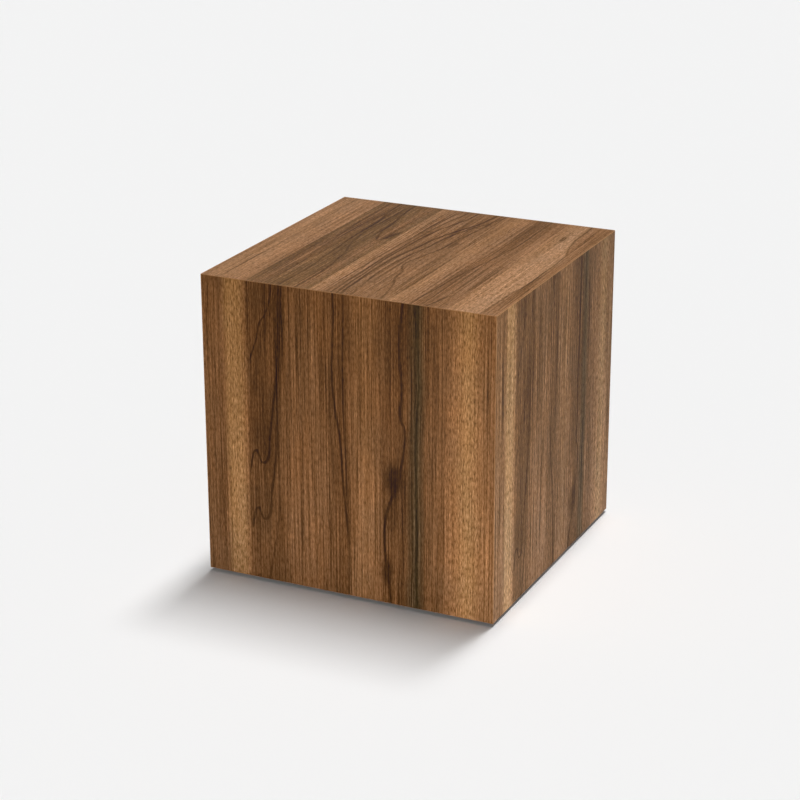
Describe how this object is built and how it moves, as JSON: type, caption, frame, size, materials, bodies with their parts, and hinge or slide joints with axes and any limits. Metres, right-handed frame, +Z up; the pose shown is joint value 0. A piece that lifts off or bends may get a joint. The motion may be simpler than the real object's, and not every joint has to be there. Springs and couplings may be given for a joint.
{
  "type": "cube storage cabinet",
  "caption": "Handle-less cube cabinet in walnut veneer with mitred edges, a flush push-to-open door on one side and a set-back black base with levelling feet.",
  "frame": {"origin": "on the floor under the cube's centre", "axes": "+Z up; +X out of the closed back panel, so the door is on the -X side; -Y and +Y out of the two side boards, whose grain is upright"},
  "size_m": [0.45, 0.45, 0.4545],
  "materials": {
    "walnut_veneer": "satin lacquer over figured walnut",
    "walnut_veneer_inner": "satin lacquer over plain walnut",
    "walnut_lipping": "satin lacquer",
    "fibreboard": "sawn edge, sealed under veneer",
    "birch_ply": "bare",
    "black_lacquer": "matt black lacquer",
    "grey_plastic": "moulded",
    "black_plastic": "moulded",
    "magnet": "nickel plated",
    "spring_steel": "drawn",
    "brass": "satin",
    "zinc_steel": "zinc plated"
  },
  "bodies": {
    "cabinet": {"back_core": "fibreboard", "back_inner_veneer": "walnut_veneer_inner", "back_mitre_splines": "birch_ply", "back_outer_veneer": "walnut_veneer", "base_screws": "zinc_steel", "base_strip_back": "black_lacquer", "base_strip_front": "black_lacquer", "base_strip_left": "black_lacquer", "base_strip_right": "black_lacquer", "bottom_core": "fibreboard", "bottom_inner_veneer": "walnut_veneer_inner", "bottom_lipping": "walnut_lipping", "bottom_outer_veneer": "walnut_veneer", "foot_inserts": "brass", "hinge_bottom_frame_leaf": "brass", "hinge_bottom_pin": "spring_steel", "hinge_frame_screws": "zinc_steel", "hinge_top_frame_leaf": "brass", "hinge_top_pin": "spring_steel", "latch_housing": "grey_plastic", "latch_screws": "zinc_steel", "latch_spring": "spring_steel", "left_side_core": "fibreboard", "left_side_inner_veneer": "walnut_veneer_inner", "left_side_lipping": "walnut_lipping", "left_side_outer_veneer": "walnut_veneer", "right_side_core": "fibreboard", "right_side_inner_veneer": "walnut_veneer_inner", "right_side_lipping": "walnut_lipping", "right_side_outer_veneer": "walnut_veneer", "side_mitre_splines": "birch_ply", "top_core": "fibreboard", "top_inner_veneer": "walnut_veneer_inner", "top_lipping": "walnut_lipping", "top_outer_veneer": "walnut_veneer"},
    "door": {"door_core": "fibreboard", "door_inner_veneer": "walnut_veneer_inner", "door_lipping_bottom": "walnut_lipping", "door_lipping_free_edge": "walnut_lipping", "door_lipping_hinge_edge": "walnut_lipping", "door_lipping_top": "walnut_lipping", "door_outer_veneer": "walnut_veneer", "hinge_bottom_door_leaf": "brass", "hinge_bottom_washer": "brass", "hinge_door_screws": "zinc_steel", "hinge_top_door_leaf": "brass", "hinge_top_washer": "brass", "strike_plate": "zinc_steel", "strike_screws": "zinc_steel"},
    "latch_plunger": {"latch_plunger": "grey_plastic", "latch_magnet": "magnet"},
    "foot_door_right": {"foot_stud_door_right": "zinc_steel", "foot_sole_door_right": "black_plastic"},
    "foot_door_left": {"foot_stud_door_left": "zinc_steel", "foot_sole_door_left": "black_plastic"},
    "foot_back_right": {"foot_stud_back_right": "zinc_steel", "foot_sole_back_right": "black_plastic"},
    "foot_back_left": {"foot_stud_back_left": "zinc_steel", "foot_sole_back_left": "black_plastic"}
  },
  "joints": [
    {"name": "door_hinge", "type": "hinge", "parent": "cabinet", "child": "door", "pos_m": [-0.2185, 0.19, 0.2295], "axis": [0, 0, -1], "range_deg": [0, 110]},
    {"name": "latch_push", "type": "slide", "parent": "cabinet", "child": "latch_plunger", "axis": [1, 0, 0], "range_m": [0, 0.003], "stiffness_N_per_m": 300, "springref_m": -0.01, "deforming": ["latch_spring"]},
    {"name": "foot_door_right_screw", "type": "slide", "parent": "cabinet", "child": "foot_door_right", "axis": [0, 0, -1], "range_m": [0, 0.008]},
    {"name": "foot_door_left_screw", "type": "slide", "parent": "cabinet", "child": "foot_door_left", "axis": [0, 0, -1], "range_m": [0, 0.008]},
    {"name": "foot_back_right_screw", "type": "slide", "parent": "cabinet", "child": "foot_back_right", "axis": [0, 0, -1], "range_m": [0, 0.008]},
    {"name": "foot_back_left_screw", "type": "slide", "parent": "cabinet", "child": "foot_back_left", "axis": [0, 0, -1], "range_m": [0, 0.008]}
  ]
}
